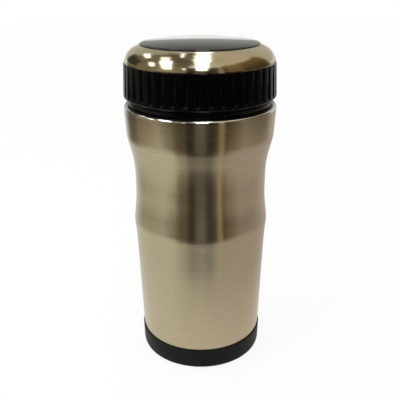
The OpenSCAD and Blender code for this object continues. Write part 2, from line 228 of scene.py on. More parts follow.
def brushedSteel304():
    # stainless steel 304, brushed round the body with a fine belt and clear: warm grey, with reflections
    # drawn out along the height and faint level streaks; real lines are 0.05 mm apart, drawn at 0.3 to show
    material, tree, surface = startSurface("brushedSteel304", {
        "Metallic": 1.0, "Anisotropic": 0.8, "Anisotropic Rotation": 0.25})
    streaks = turnedStreaks(tree, spacing=0.3, length=15)
    varySurface(tree, surface, streaks, ("#b9ab8f", "#c1b496"), roughness=(0.215, 0.24), bump=(0.06, 0.005))
    place = addNode(tree, "ShaderNodeTexCoord").outputs["Object"]
    height = addNode(tree, "ShaderNodeSeparateXYZ", links={"Vector": place}).outputs["Z"]
    start = spanOf("outer_shell")[1] - buffedLipAndHighlight["depth"]
    ends = {"From Min": start * mm, "From Max": (start + buffedLipAndHighlight["fade"]) * mm}
    lipBuffAndHighlightMask = addNode(tree, "ShaderNodeMapRange", ends, {"Value": height}).outputs["Result"]
    brushed = surface.inputs["Roughness"].links[0].from_socket
    gloss = addNode(tree, "ShaderNodeMix", {numberB: buffedLipAndHighlight["roughness"]},
                    {mixBy: lipBuffAndHighlightMask, numberA: brushed}, data_type="FLOAT")
    tree.links.new(gloss.outputs[mixedNumber], surface.inputs["Roughness"])
    # the lip's lighter tone is partly the buffed finish and partly a painted highlight that brightens the rim
    # line
    brushedTint = surface.inputs["Base Color"].links[0].from_socket
    tint = addNode(tree, "ShaderNodeMix", {colourB: toLinear(buffedLipAndHighlight["tone"])},
                   {mixBy: lipBuffAndHighlightMask, colourA: brushedTint}, data_type="RGBA")
    tree.links.new(tint.outputs[mixedColour], surface.inputs["Base Color"])
    brushRound(tree, surface)
    return material


def polishedSteel304():
    # stainless steel 304, pressed and spun-polished: lamps show as soft bright patches drawn out up the dome
    material, tree, surface = startSurface("polishedSteel304", {
        "Metallic": 1.0, "Anisotropic": 0.65, "Anisotropic Rotation": 0.25})
    streaks = turnedStreaks(tree, spacing=0.4, length=30)
    varySurface(tree, surface, streaks, ("#bbb095", "#c7bba3"), roughness=(0.13, 0.16), bump=(0.05, 0.01))
    brushRound(tree, surface)
    return material


def electropolishedSteel():
    # stainless steel 304, deep drawn and electropolished: bright and even, slightly uneven where it was drawn
    material, tree, surface = startSurface("electropolishedSteel", {"Metallic": 1.0})
    streaks = turnedStreaks(tree, spacing=2.5, length=40)
    varySurface(tree, surface, streaks, ("#bdb9ae", "#c8c4ba"), roughness=(0.16, 0.24), bump=(0.05, 0.02))
    return material


def rolledFoil():
    # aluminium foil, rolled: bright, with small creases from winding it on
    material, tree, surface = startSurface("rolledFoil", {"Metallic": 1.0})
    creases = grainNoise(tree, 6, detail=4.0)
    varySurface(tree, surface, creases, ("#d8d8d6", "#e6e6e4"), roughness=(0.14, 0.3), bump=(0.5, 0.3))
    return material


def tinSolder():
    # tin solder, melted and left to set: dull grey with a fine frosted grain
    material, tree, surface = startSurface("tinSolder", {"Metallic": 1.0})
    grain = grainNoise(tree, 0.5)
    varySurface(tree, surface, grain, ("#9c9da0", "#b3b4b6"), roughness=(0.35, 0.5), bump=(0.3, 0.04))
    return material


def sinteredGetter():
    # barium-aluminium getter, pressed and sintered powder: dark, rough and pitted
    material, tree, surface = startSurface("sinteredGetter", {"Metallic": 0.6})
    grain = grainNoise(tree, 0.3)
    varySurface(tree, surface, grain, ("#3c3c3e", "#5a5a5c"), roughness=(0.6, 0.85), bump=(0.6, 0.05))
    return material


def glossAbs():
    # ABS, injection moulded in a polished tool: deep black, hardly shining face on and clear along the sides
    material, tree, surface = startSurface("glossAbs", {"IOR": 1.52, "Specular Tint": (0.1, 0.1, 0.1, 1)})
    grain = grainNoise(tree, 1.2, detail=3.0)
    varySurface(tree, surface, grain, ("#020202", "#050504"), roughness=(0.2, 0.26), bump=(0.04, 0.01))
    return material


def satinPolypropylene():
    # polypropylene, moulded in a spark-eroded tool: near black with a soft greenish-grey sheen
    material, tree, surface = startSurface("satinPolypropylene", {"IOR": 1.49, "Specular IOR Level": 0.1})
    grain = grainNoise(tree, 0.35)
    varySurface(tree, surface, grain, ("#10120f", "#151813"), roughness=(0.42, 0.52), bump=(0.25, 0.02))
    return material


def threadPolypropylene():
    # polypropylene, moulded smooth for the threads: black with a dull shine
    material, tree, surface = startSurface("threadPolypropylene", {"IOR": 1.49})
    grain = grainNoise(tree, 0.6)
    varySurface(tree, surface, grain, ("#0e0e0e", "#151515"), roughness=(0.32, 0.42), bump=(0.12, 0.02))
    return material


def polishedAcrylic():
    # acrylic, cast black and polished: mirror-like surface over deep black, with the faintest haze
    material, tree, surface = startSurface("polishedAcrylic", {
        "IOR": 1.49, "Specular IOR Level": 0.3, "Coat Weight": 0.1, "Coat Roughness": 0.05})
    haze = grainNoise(tree, 9, detail=4.0)
    varySurface(tree, surface, haze, ("#0b0c0d", "#101112"), roughness=(0.03, 0.06))
    return material


def mouldedSilicone():
    # silicone rubber, moulded: grey-beige, soft and dull with a waxy surface
    material, tree, surface = startSurface("mouldedSilicone", {
        "IOR": 1.41, "Subsurface Weight": 0.15, "Subsurface Scale": 0.001})
    grain = grainNoise(tree, 0.5)
    varySurface(tree, surface, grain, ("#8a857b", "#979287"), roughness=(0.48, 0.6), bump=(0.15, 0.02))
    return material


def matRubber():
    # natural rubber, moulded with a fine matt grain: dark grey without a shine
    material, tree, surface = startSurface("matRubber", {"IOR": 1.52})
    grain = grainNoise(tree, 0.4, detail=3.0)
    varySurface(tree, surface, grain, ("#161616", "#202020"), roughness=(0.7, 0.85), bump=(0.4, 0.04))
    return material


def beadFoam():
    # expanded polystyrene, moulded from 3.5 mm beads: off-white, with the beads' cells showing
    material, tree, surface = startSurface("beadFoam", {"IOR": 1.3})
    place = addNode(tree, "ShaderNodeTexCoord").outputs["Object"]
    beadWidth = 3.5 * mm
    beads = addNode(tree, "ShaderNodeTexVoronoi", {"Scale": 1 / beadWidth}, {"Vector": place})
    cells = beads.outputs["Distance"]
    varySurface(tree, surface, cells, ("#f3f1ea", "#dcd9cf"), roughness=(0.75, 0.9), bump=(0.5, 0.3))
    return material


def curedAdhesive():
    # epoxy and tape adhesive, cured: milky yellow, smooth but uneven
    material, tree, surface = startSurface("curedAdhesive", {"IOR": 1.5})
    grain = grainNoise(tree, 1.5, detail=3.0)
    varySurface(tree, surface, grain, ("#cfc6a6", "#ddd6bd"), roughness=(0.35, 0.6), bump=(0.2, 0.05))
    return material


brushedSteel, polishedSteel, drawnSteel = brushedSteel304(), polishedSteel304(), electropolishedSteel()
foilMetal, solderMetal, getterPowder = rolledFoil(), tinSolder(), sinteredGetter()
ringAbs, basePlastic, threadPlastic = glossAbs(), satinPolypropylene(), threadPolypropylene()
discAcrylic, sealSilicone, padRubber = polishedAcrylic(), mouldedSilicone(), matRubber()
foamBeads, adhesive = beadFoam(), curedAdhesive()
print("materials made")

# the CAD nodes that stay as they are, with their materials
keptNodes = {
    "inner_liner": drawnSteel, "liner_floor": drawnSteel, "bottom_plate": drawnSteel,
    "getter_clip": drawnSteel, "radiation_foil": foilMetal, "vacuum_seal": solderMetal,
    "getter": getterPowder, "base_bond": adhesive, "dome_bond": adhesive, "disc_bond": adhesive,
    "plug_insulation": foamBeads,
}
for nodeName, material in keptNodes.items():
    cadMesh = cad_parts[nodeName].data
    if not cadMesh.materials:
        cadMesh.materials.append(material)
    for i in range(len(cadMesh.materials)):
        cadMesh.materials[i] = material


# steel wall

shellLow, shellTop, shellRadius = spanOf("outer_shell")
steelWall = {
    "lowerEdge": shellLow, "rimHeight": shellTop, "rimRadius": shellRadius, "lipWidth": 2.15,
    "underLip": 0.05, "thickness": 0.6,
    "shoulderHeight": 128.82, "shoulderIn": 0.85, "shoulderBend": 2, "slopeHeight": 14.3, "slopeBend": 9,
    "waistHeight": 94.3, "waistRadius": 35.62, "waistBend": 5,
    "crestHeight": 81, "crestRadius": 37.2, "crestBend": 1.6,
    "swellBelow": 9.5, "swellRadius": 36.3, "swellBend": 8,
    "footHeight": 12.7, "footRadius": 34.3, "neckHeight": 11.7, "neckRadius": 32.95, "footBend": 0.3,
}


def makeSteelWall(wall):
    rim, lip, thickness = wall["rimRadius"], wall["lipWidth"] / 2, wall["thickness"]
    lipHeight = wall["rimHeight"] - lip
    start = (wall["neckRadius"], wall["lowerEdge"], 0)
    shape = [
        (wall["neckRadius"], wall["neckHeight"], wall["footBend"]),
        (wall["footRadius"], wall["footHeight"], wall["footBend"]),
        (wall["swellRadius"], wall["crestHeight"] - wall["swellBelow"], wall["swellBend"]),
        (wall["crestRadius"], wall["crestHeight"], wall["crestBend"]),
        (wall["waistRadius"], wall["waistHeight"], wall["waistBend"]),
        (wall["waistRadius"], wall["shoulderHeight"] - wall["slopeHeight"], wall["slopeBend"]),
        (rim - wall["shoulderIn"], wall["shoulderHeight"], wall["shoulderBend"]),
    ]
    outside = [start] + shape + [(rim, lipHeight - wall["underLip"], 0)]
    inside = [(radius - thickness, height, bend) for radius, height, bend in [start] + shape]
    inside.append((rim - thickness, lipHeight, 0))
    rolled = arcPoints((rim - lip, lipHeight), lip, 0, 180)
    outline = traceCorners(outside, steps=14) + rolled + traceCorners(inside[::-1], steps=14)
    return meshObject("steelWall", *turnOutline(outline))


finishPiece(makeSteelWall(steelWall), "tumbler", "brushed_body_steel", brushedSteel, "outer_shell")
print("steel wall made")


# base cup and foot pad

cupLow, cupTop = spanOf("base_cap")[:2]
padThickness, padRadius = spanOf("foot_pad")[1:]
baseCup = {
    "foot": cupLow, "height": cupTop, "radius": 34.9, "lowRadius": 34.55,
    "lowerRounding": 2.4, "topRounding": 0.3, "lipRadius": 34.35,
    "boreRadius": 33.0, "boreTop": 11.4, "floorTop": 2.4, "padGap": 0.05,
}
footPad = {
    "radius": padRadius, "thickness": padThickness, "edge": 0.3, "grooves": 3, "grooveSpacing": 7.25,
    "grooveWidth": 1.2, "grooveDepth": 0.3, "grooveEdge": 0.15, "grooveFoot": 0.1,
}


def makeBaseCup(cup):
    recessRadius, recessTop = padRadius + cup["padGap"], padThickness + cup["padGap"]
    outline = traceCorners([
        (0, recessTop, 0), (recessRadius, recessTop, 0), (recessRadius, cup["foot"], 0),
        (cup["lowRadius"], cup["foot"], cup["lowerRounding"]),
        (cup["radius"], cup["height"], cup["topRounding"]),
        (cup["lipRadius"], cup["height"], 0), (cup["boreRadius"], cup["boreTop"], 0),
        (cup["boreRadius"], cup["floorTop"], 0), (0, cup["floorTop"], 0),
    ], steps=12)
    return meshObject("baseCup", *turnOutline(outline))


def makeFootPad(pad):
    corners = [(0, 0, 0)]
    for i in range(1, pad["grooves"] + 1):
        inner = i * pad["grooveSpacing"]
        outer = inner + pad["grooveWidth"]
        corners += [
            (inner, 0, pad["grooveEdge"]), (inner, pad["grooveDepth"], pad["grooveFoot"]),
            (outer, pad["grooveDepth"], pad["grooveFoot"]), (outer, 0, pad["grooveEdge"]),
        ]
    radius, top = pad["radius"], pad["thickness"]
    corners += [(radius, 0, pad["edge"]), (radius, top, 0), (0, top, 0)]
    return meshObject("footPad", *turnOutline(traceCorners(corners, steps=4)))


finishPiece(makeBaseCup(baseCup), "tumbler", "base_plastic", basePlastic, "base_cap")
finishPiece(makeFootPad(footPad), "tumbler", "pad_rubber", padRubber, "foot_pad")
print("base made")


# screw thread, mouth collar, lid plug and seal

# span and fade are degrees round: how long a ridge is, and how much of that it takes to rise and to sink
screwThread = {
    "starts": 3, "lead": 12, "span": 130, "fade": 16, "width": 1.6, "sunk": 0.45,
    "fullness": 1.9, "roundness": 0.7, "pointsAcross": 9, "stepsAlong": 64,
}
collarLow, collarTop, collarRadius = spanOf("mouth_collar")
mouthCollar = {
    "low": collarLow, "top": collarTop, "radius": collarRadius, "bore": 35.8, "crest": 34.6,
    "ledgeThickness": 2.0, "ledgeRadius": 33.1, "edge": 0.5, "threadUp": 8.25,
}
plugLow, plugTop, plugRadius = spanOf("lid_plug")
lidPlug = {
    "low": plugLow, "top": plugTop, "flangeRadius": plugRadius, "flangeThickness": 1.5, "wall": 1.7,
    "noseRadius": 31.7, "noseRounding": 1.5, "insideRounding": 0.8,
    "beadUp": 3.8, "beadRise": 1.0, "beadOut": 0.9, "beadBend": 0.3,
    "coreUp": 8.0, "coreRadius": 34.2, "coreRounding": 0.3, "crest": 35.4, "threadUp": 9.55,
}
sealLow, sealTop, sealRadius = spanOf("plug_seal")
sealRing = {
    "low": sealLow, "top": sealTop, "outer": sealRadius, "inner": 32.0, "ridge": 0.5,
    "rounding": 0.2, "footBend": 0.1,
    "ridges": ((0.3, 0.4, 0.55), (0.7, 0.85, 1)),      # each one's start, tip and end across the ring's width
}


def addRidges(verts, faces, thread, wallRadius, crestRadius, startHeight):
    # rounded thread ridges, swept up the helix and sunk into the wall at both ends
    inward = wallRadius > crestRadius
    sunk = wallRadius + (thread["sunk"] if inward else -thread["sunk"])
    around, steps = thread["pointsAcross"], thread["stepsAlong"]
    for start in range(thread["starts"]):
        first = len(verts)
        for i in range(steps + 1):
            degrees = thread["span"] * i / steps
            grow = min(1, degrees / thread["fade"], (thread["span"] - degrees) / thread["fade"])
            grow = math.sin(grow * math.pi / 2)
            angle = math.radians(degrees + 360 * start / thread["starts"])
            height = startHeight + thread["lead"] * degrees / 360
            for j in range(around):
                across = 2 * j / (around - 1) - 1
                bulge = min(1, thread["fullness"] * (1 - abs(across))) ** thread["roundness"]
                reach = sunk + (wallRadius + (crestRadius - wallRadius) * grow - sunk) * bulge
                rise = across * thread["width"] / 2
                verts.append((reach * math.cos(angle), reach * math.sin(angle), height + rise))
        for i in range(steps):
            for j in range(around):
                a, b = first + i * around + j, first + i * around + (j + 1) % around
                quad = [a, b, b + around, a + around]
                faces.append(quad if inward else quad[::-1])
        ends = [first + j for j in range(around)], [first + steps * around + j for j in range(around)]
        faces.append(ends[0][::-1] if inward else ends[0])
        faces.append(ends[1] if inward else ends[1][::-1])
    return verts, faces


def makeMouthCollar(collar):
    ledge, rounding = collar["low"] + collar["ledgeThickness"], collar["edge"] / 2
    outline = traceCorners([
        (collar["ledgeRadius"], collar["low"], 0), (collar["radius"], collar["low"], collar["edge"]),
        (collar["radius"], collar["top"], rounding), (collar["bore"], collar["top"], collar["edge"]),
        (collar["bore"], ledge, 0), (collar["ledgeRadius"], ledge, rounding),
    ], steps=6)
    start = collar["low"] + collar["threadUp"]
    mesh = addRidges(*turnOutline(outline), screwThread, collar["bore"], collar["crest"], start)
    return meshObject("mouthCollar", *mesh)


def makeLidPlug(plug):
    nose, core, flange = plug["noseRadius"], plug["coreRadius"], plug["flangeRadius"]
    low, top, wall = plug["low"], plug["top"], plug["wall"]
    bead, coreLow, flangeLow = low + plug["beadUp"], low + plug["coreUp"], top - plug["flangeThickness"]
    outline = traceCorners([
        (0, low, 0), (nose, low, plug["noseRounding"]), (nose, bead, 0),
        (nose + plug["beadOut"], bead + plug["beadRise"] / 2, plug["beadBend"]),
        (nose, bead + plug["beadRise"], 0), (nose, coreLow, 0),
        (core, coreLow, plug["coreRounding"]), (core, flangeLow, 0),
        (flange, flangeLow, 0), (flange, top, 0), (core - wall, top, 0), (core - wall, coreLow + wall, 0),
        (nose - wall, coreLow + wall, 0), (nose - wall, low + wall, plug["insideRounding"]),
        (0, low + wall, 0),
    ], steps=6)
    start = low + plug["threadUp"]
    mesh = addRidges(*turnOutline(outline), screwThread, core, plug["crest"], start)
    return meshObject("lidPlug", *mesh)


def makeSealRing(seal):
    inner, outer, rounding, footBend = seal["inner"], seal["outer"], seal["rounding"], seal["footBend"]
    base = seal["low"] + seal["ridge"]
    corners = [(inner, base, footBend)]
    for ridge in seal["ridges"]:
        start, tip, end = (inner + (outer - inner) * share for share in ridge)
        corners += [(start, base, footBend), (tip, seal["low"], rounding), (end, base, footBend)]
    corners += [(outer, seal["top"], rounding), (inner, seal["top"], rounding)]
    return meshObject("sealRing", *turnOutline(traceCorners(corners, steps=4)))


finishPiece(makeMouthCollar(mouthCollar), "tumbler", "collar_plastic", threadPlastic, "mouth_collar")
finishPiece(makeLidPlug(lidPlug), "lid", "collar_plastic", threadPlastic, "lid_plug")
finishPiece(makeSealRing(sealRing), "seal", "seal_silicone", sealSilicone, "plug_seal")
print("collar, plug and seal made")


# ribbed lid ring

ringLow, deckTop = spanOf("lid_grip")[:2]
lidRing = {
    "low": ringLow, "top": 166.9, "radius": 40.0, "topRadius": 39.25, "topBend": 0.3,
    "skirtHeight": 4.5, "skirtIn": 2.2, "skirtFoot": 1.7, "skirtLean": 2.0, "skirtTop": 3.9,
    "skirtBends": (0.4, 0.1, 0.25),
    "bore": 36.6, "boreUnder": 2, "lipRadius": 34.3, "lipThickness": 2.0,
    "ribs": 42, "ribTurn": 2.7, "ribBlend": 0.48, "ribColumns": 14, "ribRow": 0.3, "rowsOver": 1,
    "scoopRadius": 1.5, "scoopLow": 0.95, "scoopTop": 0.4, "scoopReach": 0.6,
    "deckMiddle": 25.5, "deckHalfWidth": 12.5, "deckHeight": 9.2, "deckTop": deckTop, "deckThickness": 1.8,
}


def scoopAt(ring):
    # the rule for the ribbed side's radius at an angle: scoops between lands, closed by a round end below
    ribLow = ring["low"] + ring["skirtHeight"]
    lean = (ring["radius"] - ring["topRadius"] + ring["scoopTop"] - ring["scoopLow"]) / (ring["top"] - ribLow)
    endHeight = ribLow + ring["scoopRadius"]
    pitch = 2 * math.pi / ring["ribs"]
    firstScoop = math.radians(ring["ribTurn"] - 90) + pitch / 2
    lowest, highest = ribLow - ring["scoopReach"], ring["top"] + tiny
    innermost, blendWidth = ring["topRadius"] - ring["scoopTop"], ring["ribBlend"]

    def scooped(radius, height, angle):
        if height < lowest or height > highest or radius < innermost:
            return radius
        off = (angle - firstScoop + pitch / 2) % pitch - pitch / 2
        aside = radius * math.sin(off)
        below = max(0, endHeight - height)
        depth = ring["scoopRadius"] ** 2 - aside ** 2 - below ** 2
        axis = ring["radius"] - ring["scoopLow"] + ring["scoopRadius"] - lean * (height - endHeight)
        cut = axis - (math.sqrt(depth) if depth > 0 else -math.sqrt(-depth))
        # the edge between the scoop and the land is rounded by a smooth minimum
        blend = max(0, 1 - abs(cut - radius) / blendWidth)
        return min(radius, cut) - blend ** 2 * blendWidth / 4

    return scooped


def deckArch(ring, inset, stopHeight, steps=10):
    # the deck's quarter arch from the ring's top up to a height, inset by the deck's thickness or nothing
    halfWidth, rise = ring["deckHalfWidth"] - inset, ring["deckHeight"] - inset
    last = math.asin(min(1, (stopHeight - ring["top"]) / rise))
    angles = [last * i / steps for i in range(1, steps + 1)]
    return [(ring["deckMiddle"] + halfWidth * math.cos(a), ring["top"] + rise * math.sin(a)) for a in angles]


def makeLidRing(ring):
    low, top, bends = ring["low"], ring["top"], ring["skirtBends"]
    wall = traceCorners([
        (ring["lipRadius"], low, 0), (ring["radius"] - ring["skirtIn"], low, bends[0]),
        (ring["radius"] - ring["skirtLean"], low + ring["skirtFoot"], bends[1]),
        (ring["radius"], low + ring["skirtTop"], bends[2]),
        (ring["topRadius"], top, ring["topBend"]), (ring["deckMiddle"] + ring["deckHalfWidth"], top, 0),
    ], steps=12)
    # rows of points on every rise over rowsOver, so that the scoops have true round ends
    outline = []
    for a, b in zip(wall, wall[1:]):
        out, up = b[0] - a[0], b[1] - a[1]
        steps = math.ceil(up / ring["ribRow"]) if up > ring["rowsOver"] else 1
        outline += [(a[0] + out * i / steps, a[1] + up * i / steps) for i in range(steps)]
    outline.append(wall[-1])
    under, lipTop = ring["deckTop"] - ring["deckThickness"], low + ring["lipThickness"]
    outline += deckArch(ring, 0, ring["deckTop"]) + [(0, ring["deckTop"]), (0, under)]
    outline += deckArch(ring, ring["deckThickness"], under)[::-1]
    outline += [(ring["bore"], top - ring["boreUnder"]), (ring["bore"], lipTop), (ring["lipRadius"], lipTop)]
    return meshObject("lidRing", *turnOutline(outline, ring["ribs"] * ring["ribColumns"], scoopAt(ring)))


finishPiece(makeLidRing(lidRing), "lid", "grip_plastic", ringAbs, "lid_grip")
print("lid ring made")


# steel dome and disc

domeLow, domeRadius = spanOf("lid_dome")[::2]
discLow, discRadius = spanOf("disc_inlay")[::2]
steelDome = {
    "base": domeLow, "edgeRadius": domeRadius, "halfWidth": 13.3, "halfHeight": 9.6, "thickness": 0.5,
    "panRadius": 30.7, "panDepth": 0.53, "panRounding": 0.35, "panFoot": 0.2, "lowerRounding": 0.16,
    "archSteps": 28, "columns": 320,
}
blackDisc = {
    "low": discLow, "radius": discRadius, "edgeThickness": 0.7, "edgeRounding": 0.15, "footRounding": 0.1,
    "border": 1.6, "step": 0.15, "stepWidth": 0.12, "stepBend": 0.08, "crown": 0.65,
    "crownRings": 24, "columns": 320,
}


def domeArch(dome, inset, stopRadius):
    # a quarter arch from the dome's lower edge in to a radius, inset by the steel's thickness or nothing
    middle, steps = dome["edgeRadius"] - dome["halfWidth"], dome["archSteps"]
    halfWidth, rise = dome["halfWidth"] - inset, dome["halfHeight"] - inset
    last = math.acos((stopRadius - middle) / halfWidth)
    angles = [last * i / steps for i in range(steps + 1)]
    return [(middle + halfWidth * math.cos(a), dome["base"] + rise * math.sin(a)) for a in angles]


def makeSteelDome(dome):
    thickness, panRadius, panFoot = dome["thickness"], dome["panRadius"], dome["panFoot"]
    outer = domeArch(dome, 0, panRadius)
    inner = domeArch(dome, thickness, panRadius + thickness)
    top = outer[-1][1]
    pan = top - dome["panDepth"]
    corners = [(dome["edgeRadius"], dome["base"], dome["lowerRounding"])]
    corners += [(radius, height, 0) for radius, height in outer[1:-1]]
    corners += [
        (panRadius, top, dome["panRounding"]), (panRadius, pan, panFoot), (0, pan, 0),
        (0, pan - thickness, 0), (panRadius + thickness, pan - thickness, panFoot),
    ]
    corners += [(radius, height, 0) for radius, height in inner[::-1]]
    return meshObject("steelDome", *turnOutline(traceCorners(corners, steps=6), dome["columns"]))


def makeBlackDisc(disc):
    low, edge, radius = disc["low"], disc["low"] + disc["edgeThickness"], disc["radius"]
    field = radius - disc["border"]
    corners = [
        (0, low, 0), (radius, low, disc["footRounding"]), (radius, edge, disc["edgeRounding"]),
        (field + disc["stepWidth"], edge, disc["stepBend"]),
    ]
    for i in range(disc["crownRings"] + 1):
        inwards = i / disc["crownRings"]
        crown = disc["crown"] * (1 - (1 - inwards) ** 2)
        corners.append((field * (1 - inwards), edge + disc["step"] + crown, 0))
    return meshObject("blackDisc", *turnOutline(traceCorners(corners, steps=5), disc["columns"]))


finishPiece(makeSteelDome(steelDome), "lid", "dome_steel", polishedSteel, "lid_dome")
finishPiece(makeBlackDisc(blackDisc), "lid", "disc_plastic", discAcrylic, "disc_inlay")
print("dome and disc made")


# paper floor and white world

# lengths are in metres. The camera sees a share of plain white, which runs through white over the distances
# whiteOver.
# Reflections show the paper in two tones, aside to the left and to the right of the object, and their
# brightness runs through level over the distances levelOver: painted shade, dimmer to the right where the
# object's shadow falls, and a painted pool of light, brightest near the foot and dimmer outwards
paperFloor = {
    "half": 4.5, "tone": "#f2f1ee", "white": (0.88, 1.0), "whiteOver": (0.5, 2.5),
    "paintedShadeTones": ("#fcfffa", "#dad3d3"), "aside": 0.12, "level": (1.0, 0.82), "levelOver": (0.05, 0.14),
}
whiteWorld = {"tone": "#ffffff", "fill": 0.45}


def fromTo(fromSpan, toSpan=(0, 1)):
    # the inputs of a Map Range node that takes one span to another
    return {"From Min": fromSpan[0], "From Max": fromSpan[1], "To Min": toSpan[0], "To Max": toSpan[1]}


def makeFloor(paper):
    # lit as plain white paper; where the camera sees it white is added, more with distance, and reflections
    # show it with painted shade and light, a little dimmer outwards and towards the right
    half = paper["half"] / mm
    corners = [(-half, -half, 0), (half, -half, 0), (half, half, 0), (-half, half, 0)]
    floor = meshObject("paperFloor", corners, [(0, 1, 2, 3)])
    material, tree = startMaterial("whitePaper")
    place = addNode(tree, "ShaderNodeTexCoord").outputs["Object"]
    path = addNode(tree, "ShaderNodeLightPath").outputs
    away = addNode(tree, "ShaderNodeVectorMath", links={0: place}, operation="LENGTH").outputs["Value"]
    span = fromTo(paper["whiteOver"], paper["white"])
    direct = addNode(tree, "ShaderNodeMapRange", span, {"Value": away}).outputs["Result"]
    rays = {0: direct, 1: path["Is Camera Ray"]}
    direct = addNode(tree, "ShaderNodeMath", links=rays, operation="MULTIPLY").outputs["Value"]
    rays = {0: path["Is Glossy Ray"], 1: path["Is Transmission Ray"]}
    bounced = addNode(tree, "ShaderNodeMath", links=rays, operation="MAXIMUM").outputs["Value"]
    both = {0: direct, 1: bounced}
    share = addNode(tree, "ShaderNodeMath", links=both, operation="MAXIMUM").outputs["Value"]
    aside = addNode(tree, "ShaderNodeSeparateXYZ", links={"Vector": place}).outputs["X"]
    span = fromTo((-paper["aside"], paper["aside"]))
    paintedShadeToRight = addNode(tree, "ShaderNodeMapRange", span, {"Value": aside}).outputs["Result"]
    # painted shade: reflections show the paper dimmer and pinker to the right, where the object's shadow
    # falls
    ends = {colourA: toLinear(paper["paintedShadeTones"][0]), colourB: toLinear(paper["paintedShadeTones"][1])}
    paintedShadeTones = addNode(tree, "ShaderNodeMix", ends, {mixBy: paintedShadeToRight}, data_type="RGBA").outputs[mixedColour]
    tone = addNode(tree, "ShaderNodeMix", {colourA: (1, 1, 1, 1)},
                   {mixBy: bounced, colourB: paintedShadeTones}, data_type="RGBA").outputs[mixedColour]
    # painted light: reflections show the paper brightest near the foot, falling off outwards
    span = fromTo(paper["levelOver"], paper["level"])
    paintedLightFalloff = addNode(tree, "ShaderNodeMapRange", span, {"Value": away}).outputs["Result"]
    level = addNode(tree, "ShaderNodeMix", {numberA: 1.0},
                    {mixBy: bounced, numberB: paintedLightFalloff}, data_type="FLOAT").outputs[mixedNumber]
    lit = addNode(tree, "ShaderNodeBsdfDiffuse", {"Color": toLinear(paper["tone"])}).outputs["BSDF"]
    white = addNode(tree, "ShaderNodeEmission", links={"Color": tone, "Strength": level}).outputs["Emission"]
    both = addNode(tree, "ShaderNodeMixShader", links={0: share, 1: lit, 2: white})
    addNode(tree, "ShaderNodeOutputMaterial", links={"Surface": both.outputs["Shader"]})
    floor.data.materials.append(material)


def makeWorld(surround):
    # full white where it is seen or reflected, and a weaker fill where it lights the object
    world = bpy.data.worlds.new("whiteStudio")
    bpy.context.scene.world = world
    world.use_nodes = True
    tree = world.node_tree
    tree.nodes.clear()
    path = addNode(tree, "ShaderNodeLightPath").outputs
    rays = {0: path["Is Camera Ray"], 1: path["Is Glossy Ray"]}
    seen = addNode(tree, "ShaderNodeMath", links=rays, operation="MAXIMUM").outputs["Value"]
    rays = {0: seen, 1: path["Is Transmission Ray"]}
    seen = addNode(tree, "ShaderNodeMath", links=rays, operation="MAXIMUM").outputs["Value"]
    span = {"To Min": surround["fill"], "To Max": 1.0}
    level = addNode(tree, "ShaderNodeMapRange", span, {"Value": seen}).outputs["Result"]
    tone = {"Color": toLinear(surround["tone"])}
    back = addNode(tree, "ShaderNodeBackground", tone, {"Strength": level})
    addNode(tree, "ShaderNodeOutputWorld", links={"Surface": back.outputs["Background"]})
